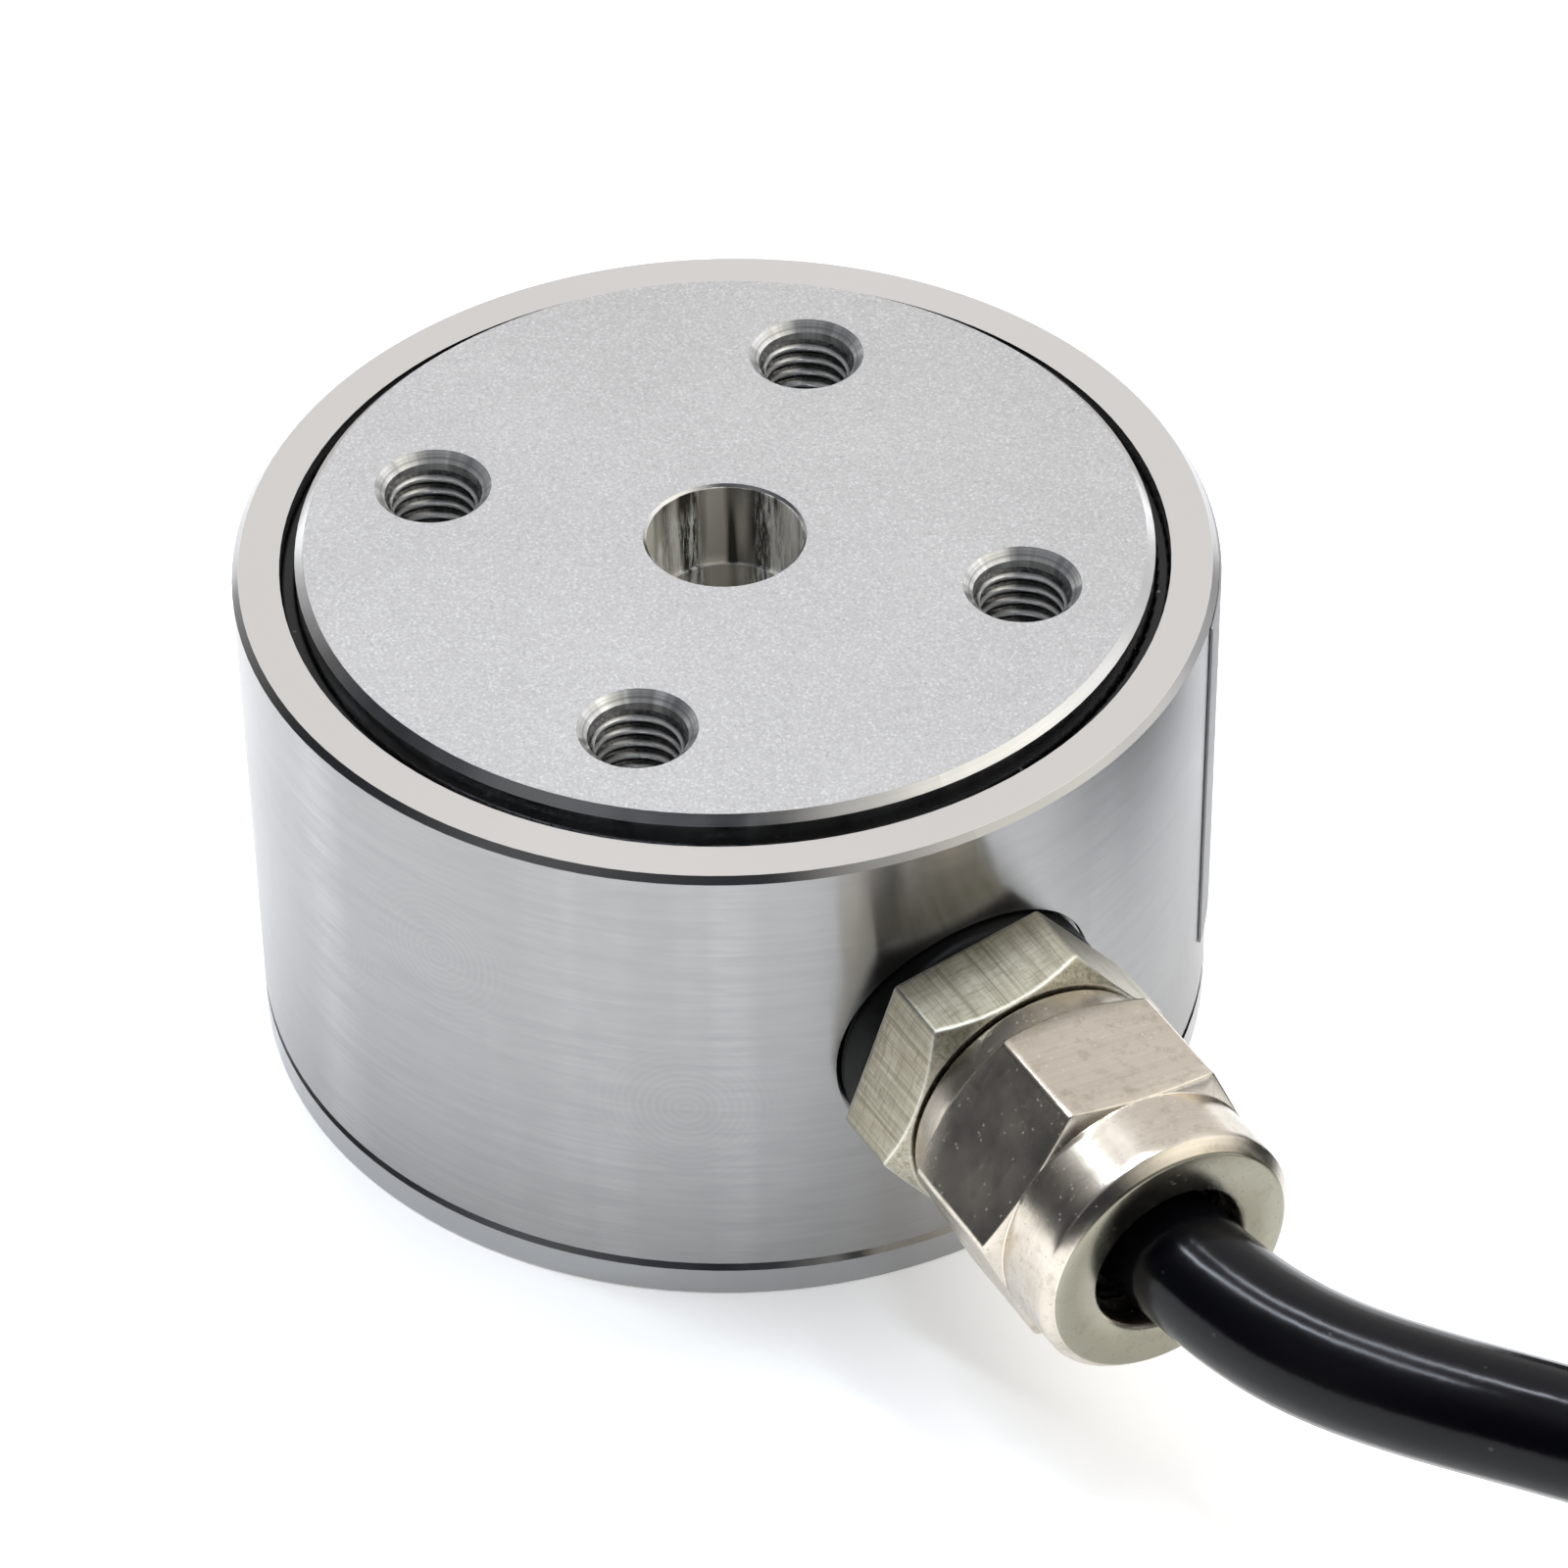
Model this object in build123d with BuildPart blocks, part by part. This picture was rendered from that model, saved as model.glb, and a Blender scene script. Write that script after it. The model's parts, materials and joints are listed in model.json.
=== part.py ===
from build123d import *
from math import cos, pi, radians, sin, sqrt, tan
import os

# Flange load cell with a 2 m signal cable.
# A turned spring element carries the load from its loading disc, through a
# waist with strain gauges, to its base flange. A sleeve closes the waist in.
# Frame: origin at the centre of the base face, +Z along the load, +X along
# the cable gland. Millimetres.

# Spring element
body_d = 50.0
lip_h = 2.07
total_h = 29.2
waist_h = 15.5
disc_share = 0.46715
disc_t = (total_h - waist_h) * disc_share
base_t = total_h - waist_h - disc_t
disc_chamfer = 0.45
base_chamfer = 0.1
lip_chamfer = 0.4
waist_d = 18.0
waist_across_flats = 15.0
waist_fillet = 1.2

# Locating bore, the same from both faces
bore_d = 8.0
bore_depth = 5.0
through_d = 7.5
bore_chamfer = 0.165

# Housing sleeve, and the loading disc that stands clear inside it
sleeve_wall = 3.0
sleeve_bore_d = body_d - 2 * sleeve_wall
seal_seat_step = 0.58
seal_seat_d = sleeve_bore_d + 2 * seal_seat_step
seal_seat_depth = 3.3
disc_gap = 0.23
disc_d = sleeve_bore_d - 2 * disc_gap
disc_proud = 1.0
rim_chamfer = 0.33
seam_chamfer = 0.12
fit_gap = 0.02

# Tapped holes, at their thread's outer diameter
bolt_edge = 6.27
bolt_circle_d = disc_d - 2 * bolt_edge
bolt_count = 4
bolt_angle = 45.0
bolt_d = 5.0
bolt_sink_d = 6.0
top_bolt_floor = 1.0
top_bolt_depth = disc_t - top_bolt_floor
base_bolt_floor = 1.1
base_bolt_depth = base_t - base_bolt_floor

# Seals
top_seal_drop = 0.8
top_seal_fillet = 0.2
base_groove_w = 1.6
base_groove_depth = 1.1
base_seal_w = 1.5
base_seal_lift = (base_t - lip_h - base_groove_w) / 2

# Cable gland: its height above the flange, and stations along its axis from
# the sleeve's outer wall
gland_lift = 7.76
gland_z = base_t + gland_lift
gland_hole_d = 14.6
boss_inner_x = -5.7
boss_outer_x = -1.3
boss_bore_d = 12.1
gasket_d = 14.2
gland_thread_d = 11.9
thread_end_chamfer = 0.5
spigot_end_x = -6.4
hex_across_flats = 14.0
body_hex_turn = 9.4
body_hex_back_x = 0.96
body_hex_corner_x = 4.7
body_hex_front_x = 5.5
gland_corner_d = 16.06
gland_face_d = 13.9
neck_end_x = 11.8
clamp_seat_x = 6.1
clamp_seat_d = 9.9
cable_way_d = 6.8

# Dome nut
nut_hex_turn = 53.0
nut_back_x = 5.75
nut_corner_back_x = 7.9
nut_corner_front_x = 13.97
nut_shoulder_x = 14.25
nut_front_x = 18.3
nut_front_d = 13.9
nut_front_fillet = 0.42
nut_thread_end_x = 12.4
nut_bore_d = 12.0
nut_cone_d = 10.2
nut_cone_end_d = 8.7
nut_wall_x = 16.2
nut_mouth_d = 8.08
nut_mouth_chamfer = 0.25

# Clamping insert and sealing bush in the gland
claw_d = 9.8
claw_bore_d = 8.3
claw_tip_d = 8.84
claw_taper_x = 12.8
claw_end_x = 15.4
claw_slot_x = 8.4
claw_slot_w = 0.8
claw_fingers = 8
bush_d = 8.26
bush_chamfer = 0.35
seat_gap = 0.1

# Signal cable
cable_d = 6.2
jacket_end_x = -7.6
cable_face_x = claw_end_x

# Coil of the spare cable, three turns wide and three layers high
coil_out = 17.0
coil_y = 83.5
coil_mean_r = 35.5
coil_columns = 3
coil_layers = 3
coil_end_angle = 120.0
coil_corner_fillet = 2.4
lead_in_l = 24.5
lead_in_straight = 6.3
lead_in_sag = 0.25
tie_t = 1.0
tie_w = 2.5
tie_gap = 0.1
tie_corner_r = 3.0
tie_angles = (75.0, 285.0)
tie_head = (3.2, 4.6, 5.0)
tie_tail_l = 4.0

# Free end of the cable
end_sleeve_d = 6.6
end_sleeve_l = 12.0
lead_d = 1.1
conductor_d = 0.7
drain_d = 0.6
lead_pitch = 1.9
lead_gap = 0.1
lead_tip_turn = 12.0
lead_start_turn = 0.25
lead_colours = ("red", "black", "green", "white")
lead_turns = (12.5, 10.5, 13.0, 11.5)
drain_turn = 9.5

# Strain gauges and their wiring
gauge_l = 7.0
gauge_w = 5.0
gauge_t = 0.08
grid_l = 4.0
grid_w = 3.2
grid_t = 0.04
gauge_lift = 1.6
pad_l = 2.4
pad_w = 4.4
pad_t = 0.25
pad_lift = 1.0
solder_d = 1.3
solder_h = 0.3
board_gap = 4.0
board_d = sleeve_bore_d - 2 * board_gap
board_hole_d = 22.0
board_t = 1.0
board_pad_t = 1.0
board_pad_edge = 1.0
wire_d = 0.35
wire_bend = 0.8
resistor_size = (3.2, 1.6, 0.8)
core_reach = (2.1, 4.2)
core_bend = 1.5
core_foot_y = 2.0

# Bare foil label on the sleeve
label_angle = 47.0
label_turn = 60.0
label_lift = 4.23
label_low_z = lip_h + label_lift
label_drop = 0.6
label_high_z = total_h - disc_proud - label_drop
label_t = 0.12

# What follows from the sizes above
body_r = body_d / 2
coil_x = body_r + coil_out
disc_r = disc_d / 2
disc_under_z = total_h - disc_t
rim_z = total_h - disc_proud
sleeve_bore_r = sleeve_bore_d / 2
register_r = sleeve_bore_r - fit_gap
flat_x = waist_across_flats / 2
bore_r = bore_d / 2
cable_r = cable_d / 2
lead_r = lead_d / 2
hex_corner_r = hex_across_flats / sqrt(3)
board_z = base_t + board_pad_t
board_top_z = board_z + board_t
coil_base_z = tie_t + tie_gap
coil_w = coil_columns * cable_d
coil_h = coil_layers * cable_d
coil_inner_r = coil_mean_r - coil_w / 2
coil_outer_r = coil_mean_r + coil_w / 2
coil_step_z = coil_base_z + coil_h - cable_d
outer_turn_r = coil_outer_r - cable_r
inner_turn_r = coil_inner_r + cable_r
lead_in_x = coil_x + outer_turn_r
lead_in_y = coil_y - lead_in_l
lead_in_z = coil_base_z + cable_r - lead_in_sag

load_face = Plane.XY.offset(total_h)
base_face = Plane(origin=(0, 0, 0), x_dir=(1, 0, 0), z_dir=(0, 0, -1))
gland_face = Plane(origin=(body_r, 0, gland_z), x_dir=(0, 1, 0), z_dir=(1, 0, 0))
gland_side = Plane(origin=(body_r, 0, gland_z), x_dir=(1, 0, 0), z_dir=(0, -1, 0))
gland_axis = Axis((0, 0, gland_z), (1, 0, 0))
coil_axis = Axis((coil_x, coil_y, 0), (0, 0, 1))

# The way of the cable down to the coil, chosen by hand: distances out from
# the sleeve's wall and aside, and shares of the gland's height
cable_way = [
    (19.6, 0, 1),
    (24.0, 0.75, 0.9993),
    (28.2, 2.45, 0.996),
    (32.0, 5.1, 0.989),
    (35.9, 8.9, 0.963),
    (41.8, 15.6, 0.89),
    (47.1, 22.9, 0.777),
    (51.4, 30.9, 0.624),
    (54.9, 39.0, 0.455),
    (57.6, 47.0, 0.312),
]
cable_route = [
    (body_r + cable_face_x, 0, gland_z),
    *((body_r + out, aside, gland_z * share) for out, aside, share in cable_way),
    (lead_in_x, lead_in_y - lead_in_straight, lead_in_z),
    (lead_in_x, lead_in_y, lead_in_z),
]


# Largest arcs that the runs of a laid cord leave room for
def bend_radii(points):
    radii = []
    for before, corner, after in zip(points, points[1:], points[2:]):
        run_in = Vector(*corner) - Vector(*before)
        run_out = Vector(*after) - Vector(*corner)
        half_turn = radians(run_in.get_angle(run_out)) / 2
        radii.append(0.45 * min(run_in.length, run_out.length) / tan(half_turn))
    return radii


# Round cord along straight runs joined by arcs
def laid_cord(points, diameter, radii=None):
    with BuildPart() as cord:
        with BuildLine() as route:
            if len(points) == 2:
                Line(*points)
            else:
                FilletPolyline(*points, radius=radii or bend_radii(points))
        with BuildSketch(Plane(origin=route.line @ 0, z_dir=route.line % 0)):
            Circle(diameter / 2)
        sweep()
    return cord.part, route.wires()[0].length


# Plane through an upright axis, its x direction turned to an angle
def radial_plane(x, y, angle):
    outward = Vector(1, 0, 0).rotate(Axis.Z, angle)
    return Plane(origin=(x, y, 0), x_dir=outward, z_dir=outward.cross(Vector(0, 0, 1)))


# Ring section on the gland's side plane, given as stations and radii
def gland_section(stations):
    with BuildSketch(gland_side) as section:
        with BuildLine():
            Polyline(*stations, close=True)
        make_face()
    return section.sketch


# Round edges of a turned piece at one radius and height
def ring_edges(piece, radius, height):
    level = piece.edges().filter_by_position(Axis.Z, height - fit_gap, height + fit_gap)
    return level.filter_by(GeomType.CIRCLE).filter_by(lambda ring: abs(ring.radius - radius) < fit_gap)


os.makedirs("parts", exist_ok=True)
coil_side = radial_plane(coil_x, coil_y, 0)

# Spring element: base flange, gauged waist and loading disc turned as one
with BuildPart() as spring_element:
    with BuildSketch(Plane.XZ) as half_section:
        with BuildLine():
            Polyline(
                (0, 0),
                (body_r, 0),
                (body_r, lip_h),
                (register_r, lip_h),
                (register_r, base_t),
                (waist_d / 2, base_t),
                (waist_d / 2, disc_under_z),
                (disc_r, disc_under_z),
                (disc_r, total_h),
                (0, total_h),
                close=True,
            )
        make_face()
        waist_corners = half_section.vertices().filter_by(
            lambda corner: abs(corner.X - waist_d / 2) < fit_gap / 2
        )
        fillet(waist_corners, radius=waist_fillet)
    revolve(axis=Axis.Z)
    # Four flats on the waist for the gauges
    with BuildSketch(Plane.XY.offset(base_t + waist_fillet)):
        Circle(waist_d / 2 + waist_fillet)
        Rectangle(waist_across_flats, waist_across_flats, mode=Mode.SUBTRACT)
    extrude(amount=disc_under_z - base_t - 2 * waist_fillet, mode=Mode.SUBTRACT)
    # Groove for the seal between the flange and the sleeve
    with BuildSketch(Plane.XZ):
        with Locations((register_r, lip_h + base_seal_lift + base_groove_w / 2)):
            Rectangle(2 * base_groove_depth, base_groove_w)
    revolve(axis=Axis.Z, mode=Mode.SUBTRACT)
    with Locations(load_face):
        CounterBoreHole(through_d / 2, bore_r, bore_depth)
        with PolarLocations(bolt_circle_d / 2, bolt_count, start_angle=bolt_angle):
            CounterSinkHole(bolt_d / 2, bolt_sink_d / 2, depth=top_bolt_depth, counter_sink_angle=90)
    with Locations(base_face):
        CounterBoreHole(through_d / 2, bore_r, bore_depth)
        with PolarLocations(bolt_circle_d / 2, bolt_count, start_angle=bolt_angle):
            CounterSinkHole(bolt_d / 2, bolt_sink_d / 2, depth=base_bolt_depth, counter_sink_angle=90)
    chamfer(ring_edges(spring_element, bore_r, 0), bore_chamfer)
    chamfer(ring_edges(spring_element, bore_r, total_h), bore_chamfer)
    chamfer(ring_edges(spring_element, disc_r, total_h), disc_chamfer)
    chamfer(ring_edges(spring_element, body_r, 0), base_chamfer)
    chamfer(ring_edges(spring_element, body_r, lip_h), lip_chamfer)
spring_element.part.label = "spring_element"
export_step(spring_element.part, "parts/spring_element.step")

# Housing sleeve: pushed over the base flange, clear of the loading disc
with BuildPart() as housing_sleeve:
    with BuildSketch(Plane.XY.offset(lip_h)):
        Circle(body_r)
        Circle(sleeve_bore_r, mode=Mode.SUBTRACT)
    extrude(amount=rim_z - lip_h)
    with Locations(Plane.XY.offset(rim_z)):
        Hole(seal_seat_d / 2, depth=seal_seat_depth)
    with Locations(gland_face):
        Hole(gland_hole_d / 2, depth=body_r / 2)
    chamfer(ring_edges(housing_sleeve, body_r, rim_z), rim_chamfer)
    chamfer(ring_edges(housing_sleeve, body_r, lip_h), seam_chamfer)
housing_sleeve.part.label = "housing_sleeve"
export_step(housing_sleeve.part, "parts/housing_sleeve.step")

# Soft ring that closes the gap round the loading disc
with BuildPart() as top_seal_ring:
    with BuildSketch(Plane.XY.offset(rim_z - seal_seat_depth)):
        Circle(seal_seat_d / 2 - fit_gap)
        Circle(disc_r + fit_gap, mode=Mode.SUBTRACT)
    extrude(amount=seal_seat_depth - top_seal_drop)
    fillet(top_seal_ring.edges().group_by(Axis.Z)[-1], radius=top_seal_fillet)
top_seal_ring.part.label = "top_seal_ring"
export_step(top_seal_ring.part, "parts/top_seal_ring.step")

# Seal squeezed into the flange's groove
with BuildPart() as base_seal_ring:
    with BuildSketch(Plane.XZ):
        seal_depth = base_groove_depth + fit_gap
        with Locations((sleeve_bore_r - seal_depth / 2, lip_h + base_seal_lift + base_groove_w / 2)):
            RectangleRounded(seal_depth - fit_gap, base_seal_w, seal_depth / 3)
    revolve(axis=Axis.Z)
base_seal_ring.part.label = "base_seal_ring"
export_step(base_seal_ring.part, "parts/base_seal_ring.step")

# Threaded boss set into the sleeve's side hole
with BuildPart() as gland_boss:
    with BuildSketch(gland_face.offset(boss_inner_x)):
        Circle(gland_hole_d / 2 - fit_gap)
        Circle(boss_bore_d / 2, mode=Mode.SUBTRACT)
    extrude(amount=boss_outer_x - boss_inner_x)
gland_boss.part.label = "gland_boss"
export_step(gland_boss.part, "parts/gland_boss.step")

# Rubber gasket between the boss and the gland's hexagon
with BuildPart() as gland_gasket:
    with BuildSketch(gland_face.offset(boss_outer_x)):
        Circle(gasket_d / 2)
        Circle(boss_bore_d / 2, mode=Mode.SUBTRACT)
    extrude(amount=body_hex_back_x - boss_outer_x)
    outer_edges = gland_gasket.edges().filter_by(
        lambda edge: edge.geom_type == GeomType.CIRCLE and abs(edge.radius - gasket_d / 2) < fit_gap
    )
    fillet(outer_edges, radius=(gasket_d - boss_bore_d) / 4)
gland_gasket.part.label = "gland_gasket"
export_step(gland_gasket.part, "parts/gland_gasket.step")

# Gland body: hexagon with a thread on each side
with BuildPart() as gland_body:
    with BuildSketch(gland_face.offset(body_hex_back_x)):
        RegularPolygon(hex_corner_r, 6, rotation=body_hex_turn)
    extrude(amount=body_hex_front_x - body_hex_back_x)
    revolve(
        gland_section(
            [
                (body_hex_back_x, 0),
                (body_hex_back_x, gland_corner_d / 2),
                (body_hex_corner_x, gland_corner_d / 2),
                (body_hex_front_x, gland_face_d / 2),
                (body_hex_front_x, 0),
            ]
        ),
        axis=gland_axis,
        mode=Mode.INTERSECT,
    )
    with BuildSketch(gland_face.offset(spigot_end_x)):
        Circle(gland_thread_d / 2)
    extrude(amount=neck_end_x - spigot_end_x)
    end_edges = gland_body.edges().group_by(Axis.X)
    thread_ends = end_edges[0] + end_edges[-1]
    chamfer(thread_ends, thread_end_chamfer)
    revolve(
        gland_section(
            [
                (spigot_end_x, 0),
                (spigot_end_x, cable_way_d / 2),
                (clamp_seat_x, cable_way_d / 2),
                (clamp_seat_x, clamp_seat_d / 2),
                (neck_end_x, clamp_seat_d / 2),
                (neck_end_x, 0),
            ]
        ),
        axis=gland_axis,
        mode=Mode.SUBTRACT,
    )
gland_body.part.label = "gland_body"
export_step(gland_body.part, "parts/gland_body.step")

# Dome nut: hexagon with a turned front that closes over the clamping insert
with BuildPart() as dome_nut:
    with BuildSketch(gland_face.offset(nut_back_x)):
        RegularPolygon(hex_corner_r, 6, rotation=nut_hex_turn)
    extrude(amount=nut_shoulder_x - nut_back_x)
    revolve(
        gland_section(
            [
                (nut_back_x, 0),
                (nut_back_x, gland_face_d / 2),
                (nut_corner_back_x, gland_corner_d / 2),
                (nut_corner_front_x, gland_corner_d / 2),
                (nut_shoulder_x, nut_front_d / 2),
                (nut_shoulder_x, 0),
            ]
        ),
        axis=gland_axis,
        mode=Mode.INTERSECT,
    )
    with BuildSketch(gland_face.offset(nut_shoulder_x)):
        Circle(nut_front_d / 2)
    extrude(amount=nut_front_x - nut_shoulder_x)
    fillet(dome_nut.edges().group_by(Axis.X)[-1], radius=nut_front_fillet)
    revolve(
        gland_section(
            [
                (nut_back_x, 0),
                (nut_back_x, nut_bore_d / 2),
                (nut_thread_end_x, nut_bore_d / 2),
                (nut_thread_end_x, nut_cone_d / 2),
                (nut_wall_x, nut_cone_end_d / 2),
                (nut_wall_x, nut_mouth_d / 2),
                (nut_front_x - nut_mouth_chamfer, nut_mouth_d / 2),
                (nut_front_x, nut_mouth_d / 2 + nut_mouth_chamfer),
                (nut_front_x, 0),
            ]
        ),
        axis=gland_axis,
        mode=Mode.SUBTRACT,
    )
dome_nut.part.label = "dome_nut"
export_step(dome_nut.part, "parts/dome_nut.step")

# Clamping insert: a moulded ring of spring fingers
with BuildPart() as clamping_claw:
    revolve(
        gland_section(
            [
                (clamp_seat_x, claw_bore_d / 2),
                (clamp_seat_x, claw_d / 2),
                (claw_taper_x, claw_d / 2),
                (claw_end_x, claw_tip_d / 2),
                (claw_end_x, claw_bore_d / 2),
            ]
        ),
        axis=gland_axis,
    )
    with BuildSketch(gland_face.offset(claw_slot_x)):
        with PolarLocations((claw_d + claw_bore_d) / 4, claw_fingers):
            Rectangle(claw_d - claw_bore_d, claw_slot_w)
    extrude(amount=claw_end_x - claw_slot_x, mode=Mode.SUBTRACT)
clamping_claw.part.label = "clamping_claw"
export_step(clamping_claw.part, "parts/clamping_claw.step")

# Rubber bush squeezed round the cable
with BuildPart() as sealing_bush:
    revolve(
        gland_section(
            [
                (clamp_seat_x + seat_gap, cable_r + fit_gap),
                (clamp_seat_x + seat_gap, bush_d / 2),
                (claw_end_x - bush_chamfer, bush_d / 2),
                (claw_end_x, bush_d / 2 - bush_chamfer),
                (claw_end_x, cable_r + fit_gap),
            ]
        ),
        axis=gland_axis,
    )
sealing_bush.part.label = "sealing_bush"
export_step(sealing_bush.part, "parts/sealing_bush.step")

# The stretch of cable that the gland holds
entry_ends = [(body_r + station, 0, gland_z) for station in (jacket_end_x, cable_face_x)]
cable_entry, entry_l = laid_cord(entry_ends, cable_d)
cable_entry.label = "cable_entry"
export_step(cable_entry, "parts/cable_entry.step")

# Free cable from the gland's mouth to the coil
signal_cable, cable_l = laid_cord(cable_route, cable_d)
signal_cable.label = "signal_cable"
export_step(signal_cable, "parts/signal_cable.step")
print("cable bend radii", [round(radius, 1) for radius in bend_radii(cable_route)])
section_volume = pi * cable_r**2 * cable_l
print("cable run", round(cable_l, 1), "volume", round(signal_cable.volume, 1), "of", round(section_volume, 1))

# Outer shape of the coiled cable: its last turn ends part of the way round
with BuildPart() as cable_coil:
    with BuildSketch(coil_side) as coil_section:
        with BuildLine():
            Polyline(
                (coil_inner_r, coil_base_z),
                (coil_outer_r, coil_base_z),
                (coil_outer_r, coil_base_z + coil_h),
                (coil_inner_r + cable_d, coil_base_z + coil_h),
                (coil_inner_r + cable_d, coil_step_z),
                (coil_inner_r, coil_step_z),
                close=True,
            )
        make_face()
        outer_corners = coil_section.vertices().sort_by(Axis.X)[-2:]
        inner_low_corner = coil_section.vertices().group_by(Axis.Y)[0].sort_by(Axis.X)[:1]
        fillet(outer_corners + inner_low_corner, radius=coil_corner_fillet)
    revolve(axis=coil_axis)
    with BuildSketch(coil_side) as last_turn:
        with Locations((inner_turn_r, coil_step_z + cable_r)):
            Rectangle(cable_d, cable_d)
        inner_top = last_turn.vertices().group_by(Axis.Y)[-1].sort_by(Axis.X)[:1]
        fillet(inner_top, radius=coil_corner_fillet)
    revolve(axis=coil_axis, revolution_arc=coil_end_angle)
    with BuildSketch(Plane(origin=(lead_in_x, lead_in_y, lead_in_z), z_dir=(0, 1, 0))):
        Circle(cable_r)
    extrude(amount=lead_in_l - cable_d)
cable_coil.part.label = "cable_coil"
export_step(cable_coil.part, "parts/cable_coil.step")

# Nylon ties round the coil's section, each with its head inside the ring
for number, angle in enumerate(tie_angles, 1):
    tie_side = radial_plane(coil_x, coil_y, angle)
    middle = (coil_mean_r, coil_base_z + coil_h / 2)
    head_t, head_w, head_h = tie_head
    with BuildPart() as coil_tie:
        with BuildSketch(tie_side):
            with Locations(middle):
                RectangleRounded(coil_w + 2 * coil_base_z, coil_h + 2 * coil_base_z, tie_corner_r)
                RectangleRounded(
                    coil_w + 2 * tie_gap, coil_h + 2 * tie_gap, tie_corner_r - tie_t, mode=Mode.SUBTRACT
                )
        extrude(amount=tie_w / 2, both=True)
        head_r = coil_inner_r - tie_gap - (tie_t + head_t) / 2
        with BuildSketch(tie_side):
            with Locations((head_r, middle[1])):
                Rectangle(head_t, head_h)
        extrude(amount=head_w / 2, both=True)
        with BuildSketch(tie_side):
            with Locations((head_r, middle[1] + (head_h + tie_tail_l) / 2)):
                Rectangle(tie_t, tie_tail_l)
        extrude(amount=tie_w / 2, both=True)
    coil_tie.part.label = f"coil_tie_{number}"
    export_step(coil_tie.part, f"parts/coil_tie_{number}.step")

# Shrink sleeve over the jacket's free end, lying in the gap of the last turn
sleeve_r = end_sleeve_d / 2
sleeve_turn_r = coil_inner_r + cable_d - sleeve_r - seat_gap
sleeve_z = coil_step_z + sleeve_r + seat_gap
sleeve_arc = end_sleeve_l / sleeve_turn_r * 180 / pi
with BuildPart() as end_sleeve:
    with BuildSketch(radial_plane(coil_x, coil_y, coil_end_angle)):
        with Locations((sleeve_turn_r, sleeve_z)):
            Circle(sleeve_r)
    revolve(axis=coil_axis, revolution_arc=sleeve_arc)
end_sleeve.part.label = "end_sleeve"
export_step(end_sleeve.part, "parts/end_sleeve.step")


# A point beside the coil's axis, by its angle, radius and height
def coil_point(angle, radius, height):
    return (
        coil_x + radius * cos(radians(angle)),
        coil_y + radius * sin(radians(angle)),
        height,
    )


# Lead laid along the coil's inner step: angles past the sleeve, with the
# shares of its sideways and downward shift that it has made there
lead_stations = [(0, 0, 0), (8, 0.1, 0.02), (16, 0.5, 0.2), (24, 0.9, 0.6), (32, 1, 0.93), (40, 1, 1)]


# Insulated lead whose bare conductor stands out at its end
def stripped_lead(start_r, start_z, rest_r, turn, insulation_d, core_d):
    rest_z = coil_step_z + insulation_d / 2 + seat_gap
    leave = coil_end_angle + sleeve_arc + lead_start_turn
    points = [
        coil_point(
            leave + angle,
            start_r + (rest_r - start_r) * aside,
            start_z + (rest_z - start_z) * down,
        )
        for angle, aside, down in lead_stations
    ]
    last = leave + lead_stations[-1][0]
    points += [coil_point(last + turn * step, rest_r, rest_z) for step in (1, 2, 3, 4)]
    insulated, _ = laid_cord(points, insulation_d)
    tip = coil_point(last + turn * 4 + lead_tip_turn, rest_r, rest_z)
    bare, _ = laid_cord(points + [tip], core_d)
    with BuildPart() as lead:
        add(insulated)
        add(bare)
    return lead.part


# Leads side by side on the step, the drain wire between them
half_pitch = lead_pitch / 2
inner_rest_r = coil_inner_r + lead_gap + lead_r
outer_rest_r = coil_inner_r + cable_d - lead_gap - lead_r
lead_step = lead_d + lead_gap
lead_places = [
    (-half_pitch, -half_pitch, inner_rest_r),
    (-half_pitch, half_pitch, inner_rest_r + lead_step),
    (half_pitch, half_pitch, outer_rest_r - lead_step),
    (half_pitch, -half_pitch, outer_rest_r),
]
for colour, turn, (aside, up, rest_r) in zip(lead_colours, lead_turns, lead_places):
    lead = stripped_lead(sleeve_turn_r + aside, sleeve_z + up, rest_r, turn, lead_d, conductor_d)
    lead.label = f"lead_{colour}"
    export_step(lead, f"parts/lead_{colour}.step")
drain_route_r = coil_inner_r + cable_r
drain = stripped_lead(sleeve_turn_r, sleeve_z, drain_route_r, drain_turn, drain_d, drain_d - fit_gap)
drain.label = "lead_shield"
export_step(drain, "parts/lead_shield.step")

# Foil strain gauges on the waist's flats, each above its solder terminals
flat_mid_z = (base_t + disc_under_z) / 2
gauge_z = flat_mid_z + gauge_lift
pad_z = base_t + waist_fillet + pad_lift + pad_l / 2
for number, angle in enumerate((0, 90, 180, 270), 1):
    outward = Vector(1, 0, 0).rotate(Axis.Z, angle)
    flat = Plane(origin=outward * flat_x, x_dir=outward.cross(Vector(0, 0, -1)), z_dir=outward)
    with BuildPart() as strain_gauge:
        with BuildSketch(flat):
            with Locations((0, gauge_z)):
                RectangleRounded(gauge_w, gauge_l, gauge_w / 8)
        extrude(amount=gauge_t)
        with BuildSketch(flat.offset(gauge_t)):
            with Locations((0, gauge_z)):
                Rectangle(grid_w, grid_l)
        extrude(amount=grid_t)
    strain_gauge.part.label = f"strain_gauge_{number}"
    export_step(strain_gauge.part, f"parts/strain_gauge_{number}.step")
    with BuildPart() as solder_terminal:
        with BuildSketch(flat):
            with Locations((0, pad_z)):
                RectangleRounded(pad_w, pad_l, pad_l / 8)
        extrude(amount=pad_t)
        with BuildSketch(flat.offset(pad_t)):
            with Locations((-pad_w / 4, pad_z), (pad_w / 4, pad_z)):
                Circle(solder_d / 2)
        extrude(amount=solder_h, taper=30)
    solder_terminal.part.label = f"solder_terminal_{number}"
    export_step(solder_terminal.part, f"parts/solder_terminal_{number}.step")

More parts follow.
